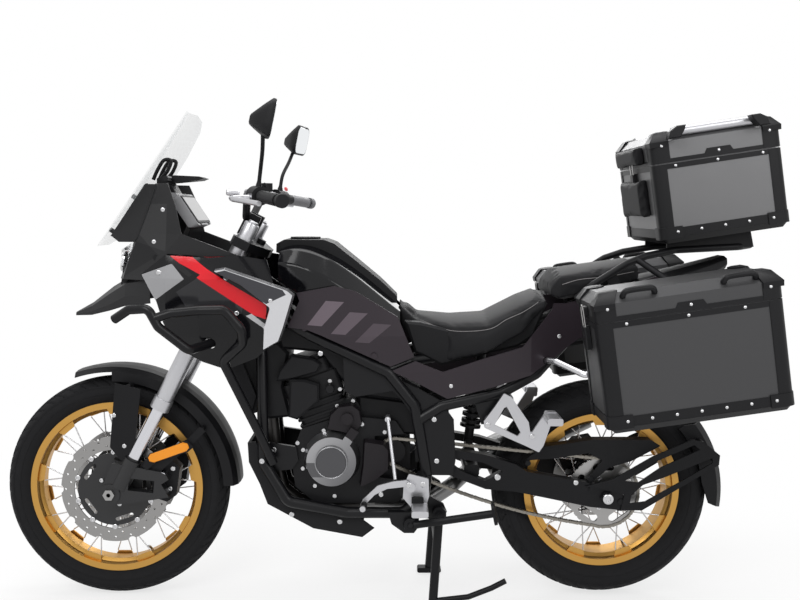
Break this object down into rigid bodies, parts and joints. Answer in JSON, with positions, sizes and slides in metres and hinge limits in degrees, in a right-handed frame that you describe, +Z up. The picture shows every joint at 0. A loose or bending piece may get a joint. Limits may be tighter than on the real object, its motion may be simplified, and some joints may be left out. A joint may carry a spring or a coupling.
{
  "type": "adventure motorcycle",
  "caption": "Adventure touring motorcycle with wire wheels, crash bars, tall screen, two-piece seat and metal luggage cases, on its centre stand.",
  "frame": {"origin": "floor level under the middle of the overall box", "axes": "+Z up, nose towards -X, rider's left towards -Y"},
  "size_m": [2.235, 1.08, 1.4302],
  "materials": {
    "tyre_rubber": "matte",
    "gold_anodised": "satin",
    "black_metal": "satin",
    "grey_metal": "satin",
    "steel": "satin",
    "satin_silver": "satin",
    "chrome": "gloss",
    "dark_plastic": "matte",
    "gloss_black": "gloss",
    "purple_grey": "gloss",
    "clear_lens": "gloss",
    "seat_vinyl": "matte",
    "case_grey": "satin",
    "case_dark": "satin"
  },
  "bodies": {
    "chassis": {"chain": "steel", "chain_guard": "black_metal", "crash_bars": "black_metal", "dashboard": "dark_plastic", "engine": "black_metal", "engine_covers": "grey_metal", "exhaust": "steel", "fuel_tank": "gloss_black", "headlight": "clear_lens", "left_foot_plate": "grey_metal", "left_pannier": "case_dark", "lower_backrest": "seat_vinyl", "luggage_rack": "black_metal", "main_frame": "black_metal", "nose_fairing": "dark_plastic", "pannier_rack": "black_metal", "passenger_brackets": "grey_metal", "passenger_seat": "seat_vinyl", "radiator": "black_metal", "rear_caliper": "black_metal", "rear_hugger": "dark_plastic", "rear_shock": "steel", "rider_seat": "seat_vinyl", "right_foot_plate": "grey_metal", "right_pannier": "case_dark", "shrouds": "gloss_black", "skid_plate": "dark_plastic", "swingarm": "black_metal", "tail_panels": "purple_grey", "tail_unit": "dark_plastic", "tank_cover": "dark_plastic", "tank_panels": "purple_grey", "top_case": "case_grey", "windscreen": "clear_lens", "wings": "satin_silver"},
    "steering": {"fork_yokes": "black_metal", "front_axle": "chrome", "front_calipers": "black_metal", "front_mudguard": "dark_plastic", "hand_controls": "dark_plastic", "handlebar": "black_metal", "left_fork": "satin_silver", "mirrors": "dark_plastic", "right_fork": "satin_silver"},
    "front_wheel": {"front_discs": "steel", "front_hub": "black_metal", "front_rim": "gold_anodised", "front_tyre": "tyre_rubber"},
    "rear_wheel": {"rear_disc": "steel", "rear_hub": "black_metal", "rear_rim": "gold_anodised", "rear_sprocket": "steel", "rear_tyre": "tyre_rubber"},
    "centre_stand": {"centre_stand": "black_metal"},
    "side_stand": {"side_stand": "black_metal"},
    "top_case_lid": {"top_case_lid": "case_grey", "upper_backrest": "seat_vinyl"},
    "left_pannier_lid": {"left_pannier_lid": "case_dark"},
    "right_pannier_lid": {"right_pannier_lid": "case_dark"}
  },
  "joints": [
    {"name": "steering_turn", "type": "hinge", "parent": "chassis", "child": "steering", "pos_m": [-0.59076, 0, 0.60246], "axis": [0.4571, 0, 0.8894], "range_deg": [-35, 35]},
    {"name": "front_wheel_spin", "type": "hinge", "parent": "steering", "child": "front_wheel", "pos_m": [-0.786, 0, 0.3293], "axis": [0, 1, 0], "continuous": true},
    {"name": "rear_wheel_spin", "type": "hinge", "parent": "chassis", "child": "rear_wheel", "pos_m": [0.65, 0, 0.3293], "axis": [0, 1, 0], "continuous": true},
    {"name": "centre_stand_fold", "type": "hinge", "parent": "chassis", "child": "centre_stand", "pos_m": [0.167, 0, 0.283], "axis": [0, -1, 0], "range_deg": [0, 81]},
    {"name": "side_stand_fold", "type": "hinge", "parent": "chassis", "child": "side_stand", "pos_m": [0.082, -0.186, 0.262], "axis": [-0.0978, 0.9777, -0.1858], "range_deg": [0, 107]},
    {"name": "top_lid_hinge", "type": "hinge", "parent": "chassis", "child": "top_case_lid", "pos_m": [1.0951, 0, 1.32931], "axis": [0, 1, 0], "range_deg": [0, 85]},
    {"name": "left_pannier_lid_hinge", "type": "hinge", "parent": "chassis", "child": "left_pannier_lid", "pos_m": [0.98628, -0.4225, 0.9433], "axis": [0, 1, 0], "range_deg": [0, 85]},
    {"name": "right_pannier_lid_hinge", "type": "hinge", "parent": "chassis", "child": "right_pannier_lid", "pos_m": [0.98628, 0.4225, 0.9433], "axis": [0, 1, 0], "range_deg": [0, 85]}
  ]
}
